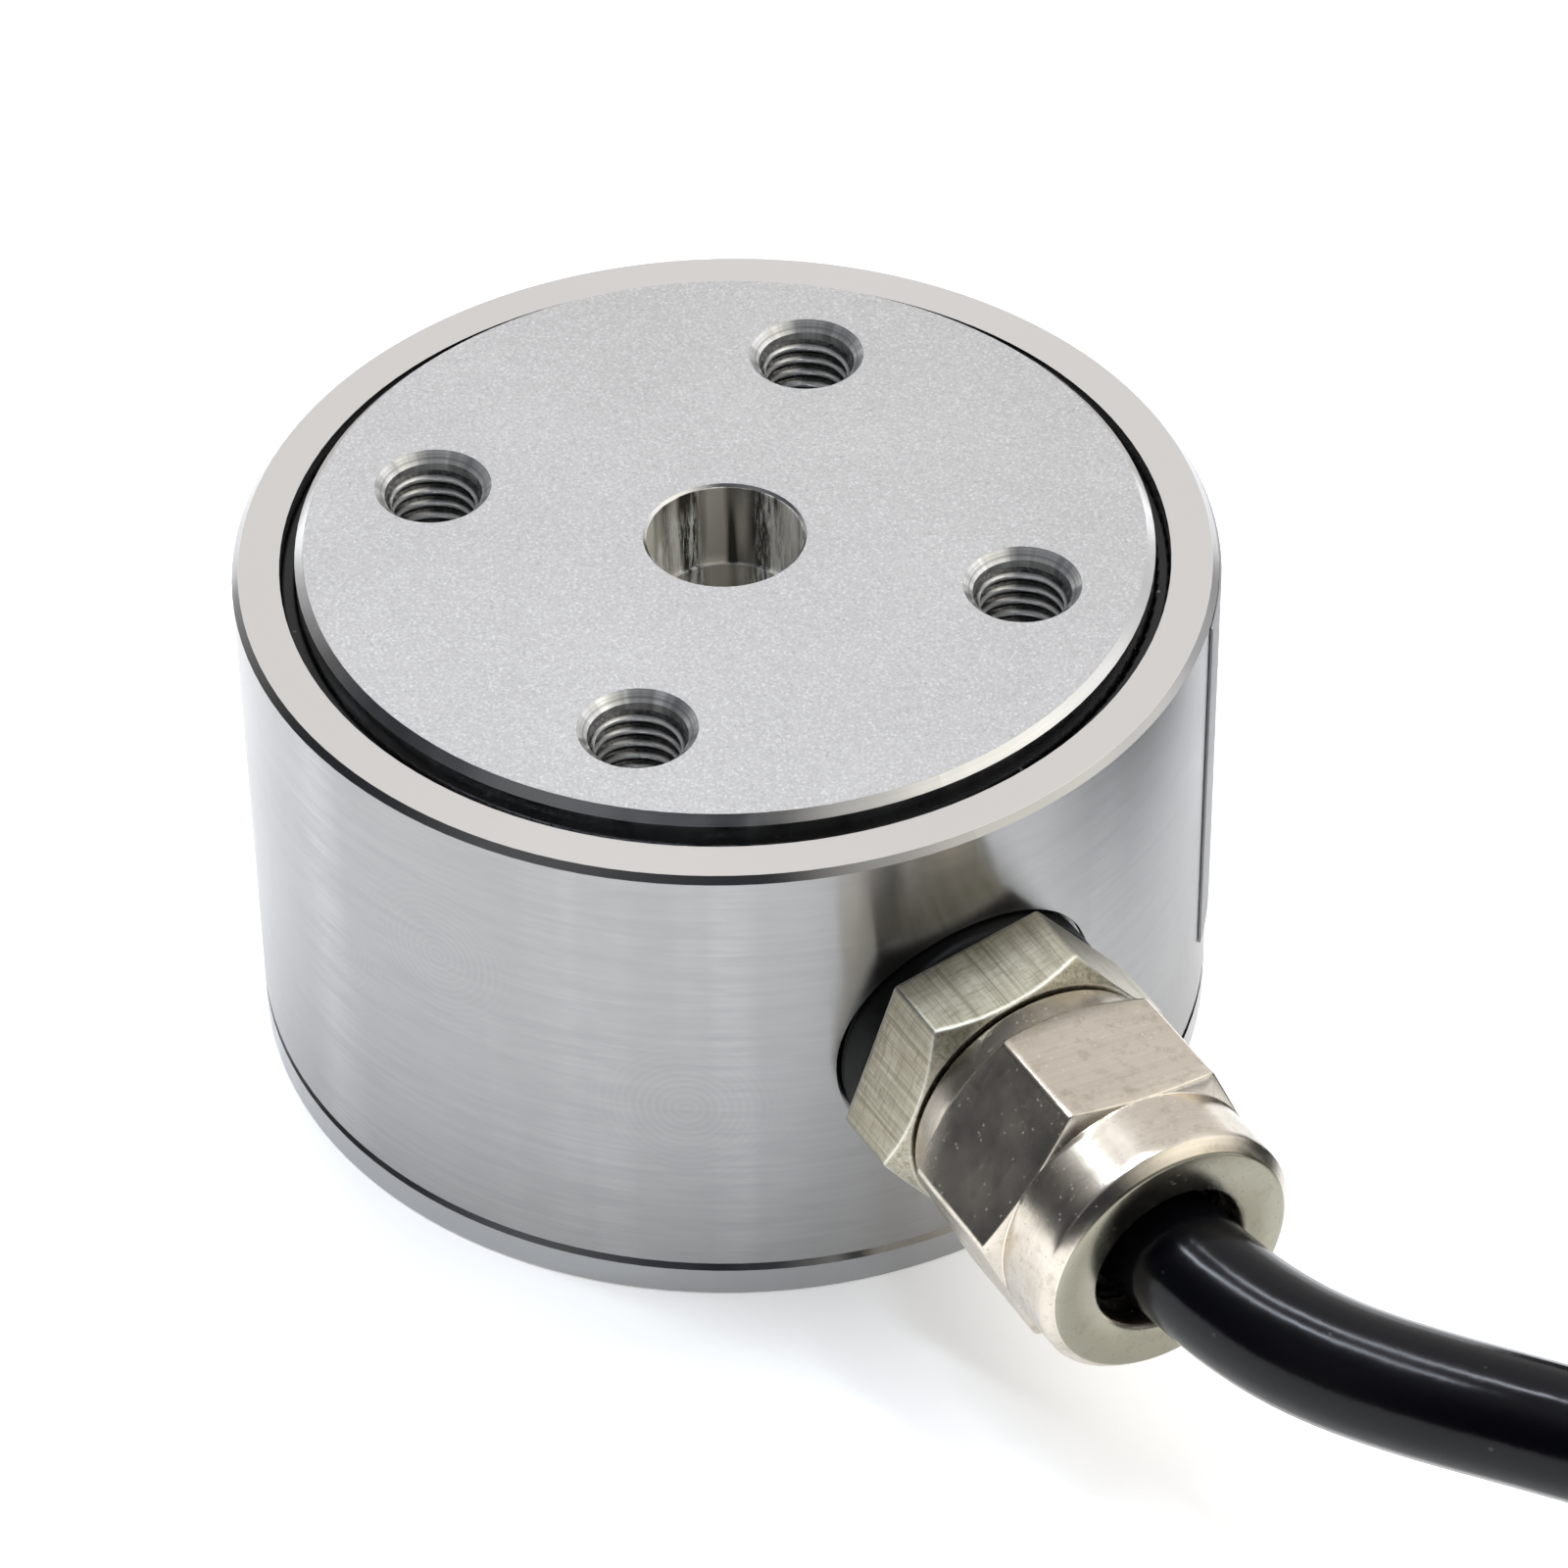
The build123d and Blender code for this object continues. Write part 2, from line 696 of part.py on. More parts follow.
# Adhesive foam ring under the board
with BuildPart() as board_pad:
    with BuildSketch(Plane.XY.offset(base_t)):
        Circle(board_d / 2 - board_pad_edge)
        Circle(board_hole_d / 2 + board_pad_edge, mode=Mode.SUBTRACT)
    extrude(amount=board_pad_t)
board_pad.part.label = "board_pad"
export_step(board_pad.part, "parts/board_pad.step")

# Ring-shaped compensation board round the waist
board_mid_r = (board_d + board_hole_d) / 4
with BuildPart() as compensation_board:
    with BuildSketch(Plane.XY.offset(board_z)):
        Circle(board_d / 2)
        Circle(board_hole_d / 2, mode=Mode.SUBTRACT)
    extrude(amount=board_t)
compensation_board.part.label = "compensation_board"
export_step(compensation_board.part, "parts/compensation_board.step")

# Trimming resistors on the board
for name, angle in (("zero_resistor", 135), ("span_resistor_1", 180), ("span_resistor_2", 225)):
    length, width, height = resistor_size
    outward = Vector(1, 0, 0).rotate(Axis.Z, angle)
    with BuildPart() as resistor:
        with BuildSketch(Plane(origin=outward * board_mid_r + Vector(0, 0, board_top_z), x_dir=outward)):
            Rectangle(width, length)
        extrude(amount=height)
        chamfer(resistor.edges().group_by(Axis.Z)[-1], height / 8)
    resistor.part.label = name
    export_step(resistor.part, f"parts/{name}.step")

# Fine wires from the solder terminals to the board
wire_start = flat_x + pad_t + solder_h
wire_foot = board_hole_d / 2 + wire_bend
wires = []
for angle in (0, 90, 180, 270):
    for side in (-pad_w / 4, pad_w / 4):
        points = [
            tuple(Vector(x, side, z).rotate(Axis.Z, angle))
            for x, z in ((wire_start, pad_z), (wire_foot, pad_z), (wire_foot, board_top_z))
        ]
        wire, _ = laid_cord(points, wire_d, radii=wire_bend)
        wires += wire.solids()
bridge_wires = Compound(label="bridge_wires", children=wires)
export_step(bridge_wires, "parts/bridge_wires.step")

# Cores from the jacket's end to the board, two above and two below
core_z = (gland_z + half_pitch, gland_z - half_pitch)
core_feet = [body_r + jacket_end_x - reach for reach in reversed(core_reach)]
core_places = [(row, side) for row in (0, 1) for side in (-1, 1)]
for colour, (row, side) in zip(lead_colours, core_places):
    start_y = side * half_pitch
    foot_y = side * core_foot_y
    core, _ = laid_cord(
        [
            (body_r + jacket_end_x, start_y, core_z[row]),
            (core_feet[row], start_y, core_z[row]),
            (core_feet[row], foot_y, board_top_z + seat_gap),
        ],
        lead_d,
        radii=core_bend,
    )
    core.label = f"core_{colour}"
    export_step(core, f"parts/core_{colour}.step")

# Bare foil label on the side of the sleeve
with BuildPart() as blank_label:
    with BuildSketch(radial_plane(0, 0, label_angle)):
        with Locations((body_r + fit_gap + label_t / 2, (label_low_z + label_high_z) / 2)):
            Rectangle(label_t, label_high_z - label_low_z)
    revolve(axis=Axis.Z, revolution_arc=label_turn)
blank_label.part.label = "blank_label"
export_step(blank_label.part, "parts/blank_label.step")
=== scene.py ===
import json
import math
import bmesh
import bpy
from mathutils import Matrix, Vector


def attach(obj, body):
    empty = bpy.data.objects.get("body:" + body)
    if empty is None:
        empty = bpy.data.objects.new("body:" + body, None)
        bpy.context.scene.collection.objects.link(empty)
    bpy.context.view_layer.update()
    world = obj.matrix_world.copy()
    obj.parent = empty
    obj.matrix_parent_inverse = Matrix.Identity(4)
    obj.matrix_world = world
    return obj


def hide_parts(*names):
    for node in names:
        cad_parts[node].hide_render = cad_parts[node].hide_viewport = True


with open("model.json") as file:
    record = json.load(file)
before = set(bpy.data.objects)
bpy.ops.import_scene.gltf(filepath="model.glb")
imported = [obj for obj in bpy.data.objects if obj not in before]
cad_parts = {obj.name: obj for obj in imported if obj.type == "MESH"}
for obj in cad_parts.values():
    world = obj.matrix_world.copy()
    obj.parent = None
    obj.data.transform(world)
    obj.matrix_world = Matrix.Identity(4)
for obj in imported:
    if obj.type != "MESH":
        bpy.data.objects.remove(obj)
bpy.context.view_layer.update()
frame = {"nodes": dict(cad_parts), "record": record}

nodes = frame["nodes"]
mm = 0.001


# small helpers for building shader trees

def startMaterial(name, colour, metallic, roughness):
    material = bpy.data.materials.new(name)
    material.use_nodes = True
    tree = material.node_tree
    shader = tree.nodes["Principled BSDF"]
    shader.inputs["Base Color"].default_value = (*colour, 1)
    shader.inputs["Metallic"].default_value = metallic
    shader.inputs["Roughness"].default_value = roughness
    return material, tree, shader


def addNode(tree, kind, inputs=None, **settings):
    made = tree.nodes.new("ShaderNode" + kind)
    for key, value in settings.items():
        setattr(made, key, value)
    for key, value in (inputs or {}).items():
        if isinstance(value, bpy.types.NodeSocket):
            tree.links.new(value, made.inputs[key])
        else:
            made.inputs[key].default_value = value
    return made


def objectPoint(tree):
    return addNode(tree, "TexCoord").outputs["Object"]


def stretch(tree, scale, point=None):
    inputs = {"Vector": point or objectPoint(tree), "Scale": scale}
    return addNode(tree, "Mapping", inputs).outputs["Vector"]


def noise(tree, point, scale, detail=3.0, rough=0.55):
    inputs = {"Vector": point, "Scale": scale, "Detail": detail, "Roughness": rough}
    return addNode(tree, "TexNoise", inputs).outputs["Fac"]


def cells(tree, point, scale, output="Distance"):
    return addNode(tree, "TexVoronoi", {"Vector": point, "Scale": scale}).outputs[output]


def cellTone(tree, point, scale):
    # one random value for each cell
    tone = cells(tree, point, scale, "Color")
    return addNode(tree, "SeparateColor", {0: tone}).outputs[0]


def maths(tree, operation, first, second=0.0):
    return addNode(tree, "Math", {0: first, 1: second}, operation=operation).outputs[0]


def vectorMaths(tree, operation, first, second=None, output="Vector"):
    inputs = {0: first} if second is None else {0: first, 1: second}
    return addNode(tree, "VectorMath", inputs, operation=operation).outputs[output]


def distanceTo(tree, point, place):
    return vectorMaths(tree, "DISTANCE", point, place, "Value")


def radiusOf(tree, point):
    return vectorMaths(tree, "LENGTH", point, output="Value")


def remap(tree, value, low, high, toLow=0.0, toHigh=1.0):
    inputs = {
        "Value": value, "From Min": low, "From Max": high,
        "To Min": toLow, "To Max": toHigh,
    }
    return addNode(tree, "MapRange", inputs).outputs["Result"]


def specks(tree, point, scale, rare, size, strength=1.0):
    # round dots in the few cells whose tone is above rare
    chosen = remap(tree, cellTone(tree, point, scale), rare, 1.0, 0.0, strength)
    return maths(tree, "MULTIPLY", chosen, remap(tree, cells(tree, point, scale), *size))


def mixColour(tree, factor, first, second):
    inputs = {0: factor}
    for socket, colour in ((6, first), (7, second)):
        inputs[socket] = colour if isinstance(colour, bpy.types.NodeSocket) else (*colour, 1)
    return addNode(tree, "Mix", inputs, data_type="RGBA").outputs[2]


def mixValue(tree, factor, first, second):
    return addNode(tree, "Mix", {0: factor, 2: first, 3: second}, data_type="FLOAT").outputs[0]


def mixNormal(tree, factor, first, second):
    return addNode(tree, "Mix", {0: factor, 4: first, 5: second}, data_type="VECTOR").outputs[1]


def layer(tree, base, mask, low, high, most, colour):
    # lays a colour over the base as the mask runs from low to high
    return mixColour(tree, remap(tree, mask, low, high, 0.0, most), base, colour)


def dim(colour, share):
    return [channel * share for channel in colour]


def bump(tree, height, strength, depth, under=None):
    inputs = {"Height": height, "Strength": strength, "Distance": depth}
    if under:
        inputs["Normal"] = under
    return addNode(tree, "Bump", inputs).outputs["Normal"]


def axisSplit(tree):
    return addNode(tree, "SeparateXYZ", {0: objectPoint(tree)}).outputs


def join(tree, shader, **sockets):
    names = {
        "colour": "Base Color", "rough": "Roughness",
        "normal": "Normal", "metal": "Metallic",
    }
    for key, socket in sockets.items():
        tree.links.new(socket, shader.inputs[names[key]])


# camera where the photographer stood, fitted to the rims and holes

camera = {
    "swing": 61.8,  # degrees round the cell
    "distance": 330.235 * mm,
    "rise": 0.6834,  # the rest in radians
    "yaw": 0.0109,
    "pitch": 0.0361,
    "roll": -0.0160,
    "rimHeight": 28.2 * mm,
    "lens": 149.58,
    "sensor": 36,
    "near": 0.01,
    "far": 20,
}


def placeAt(thing, side, top, back, spot):
    thing.matrix_world = Matrix((
        (side.x, top.x, back.x, spot[0]),
        (side.y, top.y, back.y, spot[1]),
        (side.z, top.z, back.z, spot[2]),
        (0, 0, 0, 1),
    ))


def placeCamera():
    rise, yaw, roll = camera["rise"], camera["yaw"], camera["roll"]
    dip = -(rise + camera["pitch"])
    spot = Vector((0, -math.cos(rise), math.sin(rise))) * camera["distance"]
    ahead = Vector((
        math.sin(yaw) * math.cos(dip),
        math.cos(yaw) * math.cos(dip),
        math.sin(dip),
    ))
    right = Vector((math.cos(yaw), -math.sin(yaw), 0))
    up = right.cross(ahead)
    side = right * math.cos(roll) + up * math.sin(roll)
    top = up * math.cos(roll) - right * math.sin(roll)
    turn = Matrix.Rotation(math.radians(camera["swing"]), 3, "Z")
    data = bpy.data.cameras.new("photoCamera")
    data.lens = camera["lens"]
    data.sensor_width = camera["sensor"]
    data.clip_start = camera["near"]
    data.clip_end = camera["far"]
    holder = bpy.data.objects.new("photoCamera", data)
    bpy.context.scene.collection.objects.link(holder)
    spot = turn @ spot + Vector((0, 0, camera["rimHeight"]))
    placeAt(holder, turn @ side, turn @ top, turn @ -ahead, spot)
    bpy.context.scene.camera = holder


placeCamera()
bpy.context.scene.view_settings.view_transform = "Standard"
print("camera placed")


# studio: pale floor, a soft room and lamps

studio = {
    "floorSize": 3.0,
    "floorColour": (0.84, 0.84, 0.84),
    "floorLift": 0.38,
    "ambient": (0.20, 0.203, 0.21),
    "glows": [
        # direction, outer and inner cosine, colour
        ((-0.76, 0.44, 0.48), 0.30, 0.86, (0.68, 0.658, 0.635)),
        ((0.44, 0.71, 0.55), 0.78, 0.97, (0.80, 0.77, 0.68)),
        ((0.67, 0.39, 0.63), 0.80, 0.97, (0.62, 0.60, 0.54)),
        ((0.0, 0.85, 0.53), 0.80, 0.98, (0.60, 0.60, 0.61)),
        ((0.80, -0.42, 0.30), 0.70, 0.97, (-0.19, -0.19, -0.19)),
        ((0.0, 0.0, 1.0), 0.80, 0.98, (0.30, 0.30, 0.31)),
        ((-0.50, -0.85, 0.15), 0.70, 0.96, (-0.15, -0.15, -0.15)),
    ],
    "lamps": [
        # place, lengthwise direction, length, width, power, colour, seen in gloss
        ((-0.32, 0.45, 0.90), (1, 0, 0), 0.75, 0.75, 4.2, (1.0, 0.985, 0.97), False),
        ((0.25, 0.50, 0.60), (1, 0, 0), 0.40, 0.40, 0.95, (1.0, 0.99, 0.98), False),
        ((-0.56, -0.27, 0.58), (0, 0, 1), 0.42, 0.13, 0.06, (1.0, 1.0, 1.0), True),
        ((-0.205, -0.232, 0.90), (0.93, 0.37, 0), 0.75, 0.062, 4.4, (0.82, 0.90, 1.0), True),
        ((-0.210, 0.096, 0.90), (0.93, 0.37, 0), 0.50, 0.055, 2.6, (0.82, 0.90, 1.0), True),
    ],
    "lampAim": (0.02, 0, 0.01),
}
white = (1, 1, 1, 1)


def buildRoom():
    world = bpy.data.worlds.new("room")
    bpy.context.scene.world = world
    world.use_nodes = True
    tree = world.node_tree
    sky = tree.nodes["Background"]
    direction = addNode(tree, "TexCoord").outputs["Generated"]
    colour = addNode(tree, "RGB").outputs[0]
    colour.default_value = (*studio["ambient"], 1)
    for aim, wide, tight, tint in studio["glows"]:
        facing = vectorMaths(tree, "DOT_PRODUCT", direction, Vector(aim).normalized(), "Value")
        inputs = {"Value": facing, "From Min": wide, "From Max": tight}
        fade = addNode(tree, "MapRange", inputs, interpolation_type="SMOOTHSTEP")
        amount = fade.outputs["Result"]
        glow = addNode(tree, "VectorMath", {0: tint, 3: amount}, operation="SCALE").outputs[0]
        colour = vectorMaths(tree, "ADD", colour, glow)
    tree.links.new(colour, sky.inputs["Color"])
    plain = addNode(tree, "Background", {"Color": white}).outputs[0]
    seen = addNode(tree, "LightPath").outputs["Is Camera Ray"]
    both = addNode(tree, "MixShader", {0: seen, 1: sky.outputs[0], 2: plain}).outputs[0]
    tree.links.new(both, tree.nodes["World Output"].inputs["Surface"])


def buildFloor():
    half = studio["floorSize"] / 2
    corners = [(-half, -half, 0), (half, -half, 0), (half, half, 0), (-half, half, 0)]
    mesh = bpy.data.meshes.new("floor")
    mesh.from_pydata(corners, [], [(0, 1, 2, 3)])
    floor = bpy.data.objects.new("floor", mesh)
    bpy.context.scene.collection.objects.link(floor)
    material = bpy.data.materials.new("floorPaper")
    material.use_nodes = True
    tree = material.node_tree
    tree.nodes.remove(tree.nodes["Principled BSDF"])
    paper = addNode(tree, "BsdfDiffuse", {"Color": (*studio["floorColour"], 1)}).outputs[0]
    # the floor is as white in metal and glass as it is for the camera
    path = addNode(tree, "LightPath").outputs
    mirrored = maths(tree, "MAXIMUM", path["Is Glossy Ray"], path["Is Transmission Ray"])
    seen = maths(tree, "MAXIMUM", path["Is Camera Ray"], mirrored)
    lift = maths(tree, "MULTIPLY", seen, studio["floorLift"])
    glow = addNode(tree, "Emission", {"Color": white, "Strength": lift}).outputs[0]
    both = addNode(tree, "AddShader", {0: paper, 1: glow}).outputs[0]
    tree.links.new(both, tree.nodes["Material Output"].inputs["Surface"])
    mesh.materials.append(material)


def hangLamps():
    aim = Vector(studio["lampAim"])
    for number, row in enumerate(studio["lamps"], 1):
        place, along, length, width, power, tint, inGloss = row
        data = bpy.data.lights.new(f"lamp{number}", "AREA")
        data.shape = "RECTANGLE"
        data.size, data.size_y = length, width
        data.energy = power
        data.color = tint
        lamp = bpy.data.objects.new(f"lamp{number}", data)
        bpy.context.scene.collection.objects.link(lamp)
        back = (Vector(place) - aim).normalized()
        side = (Vector(along) - back * back.dot(Vector(along))).normalized()
        placeAt(lamp, side, back.cross(side), back, place)
        lamp.visible_glossy = inGloss


buildRoom()
buildFloor()
hangLamps()
print("studio built")


# spring element: blasted face, turned lips, countersinks and the drilled bore

steel = {
    "blastColour": (0.508, 0.497, 0.492),
    "grainColour": (0.48, 0.47, 0.467),
    "darkSpeckle": (0.36, 0.35, 0.345),
    "paleSpeckle": (0.74, 0.735, 0.735),
    "glint": (0.95, 0.95, 0.95),
    "pit": (0.25, 0.24, 0.24),
    "grain": 11000,
    "clouds": 110,
    "turnedColour": (0.60, 0.60, 0.605),
    "lipShade": (0.36, 0.365, 0.372),
    "sinkColour": (0.72, 0.72, 0.715),
    "sinkShadow": (0.18, 0.18, 0.18),
    "boreColour": (0.80, 0.77, 0.70),
    # painted highlight for the bright streaks in the bore
    "boreHighlight": (1.0, 1.0, 0.97),
    "topHeight": 29.19 * mm,
    "lipHeight": 2.45 * mm,
    "boreRadius": 4.02 * mm,
    "holeCircle": 15.5 * mm,
    "sinkRadius": 3.6 * mm,
    "sinkRings": 4200,
    "sinkChatter": 2.1,
    # how tightly each pattern is packed along x, y and z
    "rings": (30, 30, 9000),
    "smears": (420, 420, 30),
    "streaks": (1500, 1500, 130),
    "bands": (560, 560, 50),
    "patches": (420, 420, 160),
    "ringDepth": 0.02 * mm,
    "streakDepth": 0.12 * mm,
}


def fromHole(tree):
    # level way from the nearest tapped hole's middle, all four folded into one
    middle = steel["holeCircle"] * math.cos(math.radians(45))
    folded = vectorMaths(tree, "ABSOLUTE", objectPoint(tree))
    return vectorMaths(tree, "SUBTRACT", stretch(tree, (1, 1, 0), folded), (middle, middle, 0))


def blastedFace(tree, point, grain):
    # fine even grain with a few glints and pits, under faint clouds
    colour, scale = steel["blastColour"], steel["grain"]
    facet = cellTone(tree, point, scale * 0.8)
    cloud = noise(tree, point, steel["clouds"], 4.0, 0.6)
    speckle = noise(tree, point, scale * 0.55, 2.0, 0.7)
    blasted = mixColour(tree, remap(tree, cloud, 0.3, 0.7), dim(colour, 0.91), colour)
    blasted = layer(tree, blasted, grain, 0.38, 0.62, 0.55, steel["grainColour"])
    blasted = layer(tree, blasted, speckle, 0.54, 0.66, 0.50, steel["darkSpeckle"])
    blasted = layer(tree, blasted, speckle, 0.44, 0.33, 0.46, steel["paleSpeckle"])
    blasted = layer(tree, blasted, facet, 0.92, 1.0, 0.14, steel["glint"])
    return layer(tree, blasted, facet, 0.05, 0.0, 0.30, steel["pit"])


def cutSink(tree):
    # cut rings round each hole, with chatter across them
    away = fromHole(tree)
    reach = radiusOf(tree, away)
    bearing = vectorMaths(tree, "NORMALIZE", away)
    ringPoint = addNode(tree, "CombineXYZ", {0: reach}).outputs[0]
    cutRings = noise(tree, ringPoint, steel["sinkRings"], 3.0, 0.7)
    chatter = noise(tree, bearing, steel["sinkChatter"], 6.0, 0.60)
    colour = steel["sinkColour"]
    sink = mixColour(tree, remap(tree, chatter, 0.38, 0.62), dim(colour, 0.45), colour)
    sink = layer(tree, sink, cutRings, 0.48, 0.62, 0.60, steel["sinkShadow"])
    return sink, maths(tree, "LESS_THAN", reach, steel["sinkRadius"])


def drilledBore(tree, streak):
    # brown-grey wall with dark upright bands painted as shade and bright upright streaks painted as
    # highlight
    colour = steel["boreColour"]
    band = noise(tree, stretch(tree, steel["bands"]), 1.0, 2.0, 0.5)
    patch = noise(tree, stretch(tree, steel["patches"]), 1.0, 2.0)
    drilled = mixColour(tree, remap(tree, band, 0.45, 0.58), dim(colour, 0.08), colour)
    inPatch = remap(tree, patch, 0.46, 0.56)
    bright = maths(tree, "MULTIPLY", remap(tree, streak, 0.46, 0.56), inPatch)
    return mixColour(tree, bright, drilled, steel["boreHighlight"]), bright


def elementSteel():
    material, tree, shader = startMaterial("elementSteel", steel["turnedColour"], 1.0, 0.25)
    point = objectPoint(tree)
    height = axisSplit(tree)["Z"]
    onTop = maths(tree, "GREATER_THAN", height, steel["topHeight"])
    axisReach = radiusOf(tree, stretch(tree, (1, 1, 0)))
    inBore = maths(tree, "LESS_THAN", axisReach, steel["boreRadius"])
    inLip = maths(tree, "LESS_THAN", height, steel["lipHeight"])
    grain = noise(tree, point, steel["grain"], 2.0, 0.6)
    rings = noise(tree, stretch(tree, steel["rings"]), 1.0, 3.0)
    smear = noise(tree, stretch(tree, steel["smears"]), 1.0, 2.0)
    streak = noise(tree, stretch(tree, steel["streaks"]), 1.0, 6.0, 0.85)

    sink, inSink = cutSink(tree)
    drilled, bright = drilledBore(tree, streak)
    turned = mixColour(tree, rings, dim(steel["turnedColour"], 0.88), steel["turnedColour"])
    # the base lip gets its own darker copy of the turned colour, painted shade near the floor
    turned = mixColour(tree, inLip, turned, steel["lipShade"])
    turned = mixColour(tree, inSink, turned, sink)
    wall = mixColour(tree, inBore, turned, drilled)
    colour = mixColour(tree, onTop, wall, blastedFace(tree, point, grain))

    turnedRough = remap(tree, smear, 0.3, 0.7, 0.12, 0.26)
    boreRough = remap(tree, streak, 0.35, 0.65, 0.50, 0.36)
    rough = mixValue(tree, inBore, turnedRough, boreRough)
    rough = mixValue(tree, onTop, rough, remap(tree, grain, 0.2, 0.8, 0.42, 0.56))
    turnedNormal = bump(tree, rings, 0.12, steel["ringDepth"])
    boreNormal = bump(tree, streak, 0.8, steel["streakDepth"])
    topNormal = bump(tree, grain, 0.22, steel["ringDepth"])
    normal = mixNormal(tree, inBore, turnedNormal, boreNormal)
    normal = mixNormal(tree, onTop, normal, topNormal)
    metal = mixValue(tree, inSink, 1.0, 0.72)
    metal = mixValue(tree, inBore, metal, mixValue(tree, bright, 0.50, 0.15))
    metal = mixValue(tree, onTop, metal, 1.0)
    join(tree, shader, colour=colour, rough=rough, normal=normal, metal=metal)
    return material


# sleeve: turned and wiped tube with a bare rim

sleeve = {
    "wallColour": (0.338, 0.335, 0.334),
    "wallGlint": (0.50, 0.50, 0.50),
    "rimColour": (0.75, 0.735, 0.725),
    "edgeColour": (0.36, 0.357, 0.36),
    "rough": 0.23,
    "edgeRough": 0.10,
    "stretchOfGloss": 0.95,
    "rimHeight": 28.195 * mm,
    "wallTop": 27.88 * mm,
    "wipes": (
        (11.0, -22.5, 19.5), (20.7, -14.0, 13.0), (3.0, -24.8, 16.5),
        (-20.0, -15.0, 15.0), (-23.7, 8.0, 18.0), (5.0, 24.5, 12.0),
    ),
    "wipeRipple": 16000.0,
    "wipeReach": (7 * mm, 2 * mm),
    # how tightly each pattern is packed along x, y and z
    "lines": (25, 25, 9000),
    "broadLines": (110, 110, 2600),
    "dashes": (260, 260, 1500),
    "uprights": (150, 150, 6),
    "smudges": (60, 60, 45),
    "lineDepth": 0.02 * mm,
}


def wipingArcs(tree, point, smudge):
    # faint nested arcs round scattered middles
    arcs = 0.0
    for middle in sleeve["wipes"]:
        away = distanceTo(tree, point, dim(middle, mm))
        ripple = maths(tree, "SINE", maths(tree, "MULTIPLY", away, sleeve["wipeRipple"]))
        fade = remap(tree, away, *sleeve["wipeReach"])
        arcs = maths(tree, "ADD", maths(tree, "MULTIPLY", ripple, fade), arcs)
    return maths(tree, "MULTIPLY", arcs, remap(tree, smudge, 0.35, 0.6))


def sleeveSteel():
    base, glint, rough = sleeve["wallColour"], sleeve["wallGlint"], sleeve["rough"]
    material, tree, shader = startMaterial("sleeveSteel", base, 1.0, rough)
    point = objectPoint(tree)
    height = axisSplit(tree)["Z"]
    onRim = maths(tree, "GREATER_THAN", height, sleeve["rimHeight"])
    onEdge = maths(tree, "GREATER_THAN", height, sleeve["wallTop"])
    lines = noise(tree, stretch(tree, sleeve["lines"]), 1.0, 4.0, 0.75)
    broad = noise(tree, stretch(tree, sleeve["broadLines"]), 1.0, 4.0, 0.65)
    dash = noise(tree, stretch(tree, sleeve["dashes"]), 1.0, 3.0, 0.6)
    upright = noise(tree, stretch(tree, sleeve["uprights"]), 1.0, 3.0)
    smudge = noise(tree, stretch(tree, sleeve["smudges"]), 1.0, 4.0, 0.6)

    wall = mixColour(tree, remap(tree, smudge, 0.3, 0.75), dim(base, 0.95), base)
    wall = layer(tree, wall, upright, 0.50, 0.72, 0.45, glint)
    wall = layer(tree, wall, lines, 0.35, 0.75, 0.50, dim(base, 0.84))
    wall = layer(tree, wall, broad, 0.42, 0.66, 0.35, dim(base, 0.86))
    wall = layer(tree, wall, dash, 0.46, 0.64, 0.40, dim(base, 0.84))
    wall = layer(tree, wall, wipingArcs(tree, point, smudge), 0.0, 1.0, 0.09, glint)
    wall = mixColour(tree, onEdge, wall, sleeve["edgeColour"])
    wall = mixColour(tree, onRim, wall, sleeve["rimColour"])
    smeared = remap(tree, smudge, 0.25, 0.75, rough - 0.04, rough + 0.04)
    normal = bump(tree, mixValue(tree, 0.5, lines, broad), 0.10, sleeve["lineDepth"])
    tangent = addNode(tree, "Tangent", direction_type="RADIAL", axis="Z").outputs[0]
    tree.links.new(tangent, shader.inputs["Tangent"])
    shader.inputs["Anisotropic"].default_value = sleeve["stretchOfGloss"]
    shader.inputs["Anisotropic Rotation"].default_value = 0.25
    rough = mixValue(tree, onEdge, smeared, sleeve["edgeRough"])
    join(tree, shader, colour=wall, rough=rough, normal=normal)
    return material


# gland: turned nickel on the nut, drawn bar with die lines on the body

nickel = {
    "turned": ((0.66, 0.60, 0.52), (0.55, 0.495, 0.42)),  # bright and shaded
    "drawn": ((0.49, 0.45, 0.36), (0.30, 0.272, 0.20)),
    "grooves": (0.16, 0.15, 0.10),
    # thread colour: painted shade between the body and the nut
    "threadShade": (0.05, 0.035, 0.02),
    "dust": (0.34, 0.33, 0.28),
    "dustStrength": 0.24,
    "edgeHighlight": (0.92, 0.90, 0.82),
    # edge colour: painted highlight laid along the nut's and body's edges
    "rough": 0.23,
    "drawnRough": 0.32,
    "edge": 0.10 * mm,
    "drawnEdge": 0.34 * mm,
    # front face colour: painted shade on the same turned nickel
    "faceShade": (0.29, 0.275, 0.215),
    "faceStart": 43.2 * mm,
    "axisHeight": 15.06 * mm,
    "threadRadius": 6.6 * mm,
    "clouds": 300,
    "stains": 1100,
    "dustGrain": 5200,
    "dimples": 1500,
    # how tightly each pattern is packed along x, y and z
    "dieLines": (90, 6200, 6200),
    "deepLines": (70, 2900, 2900),
    "crossHatch": (5600, 900, 900),
    "turnedRings": (5000, 60, 60),
}


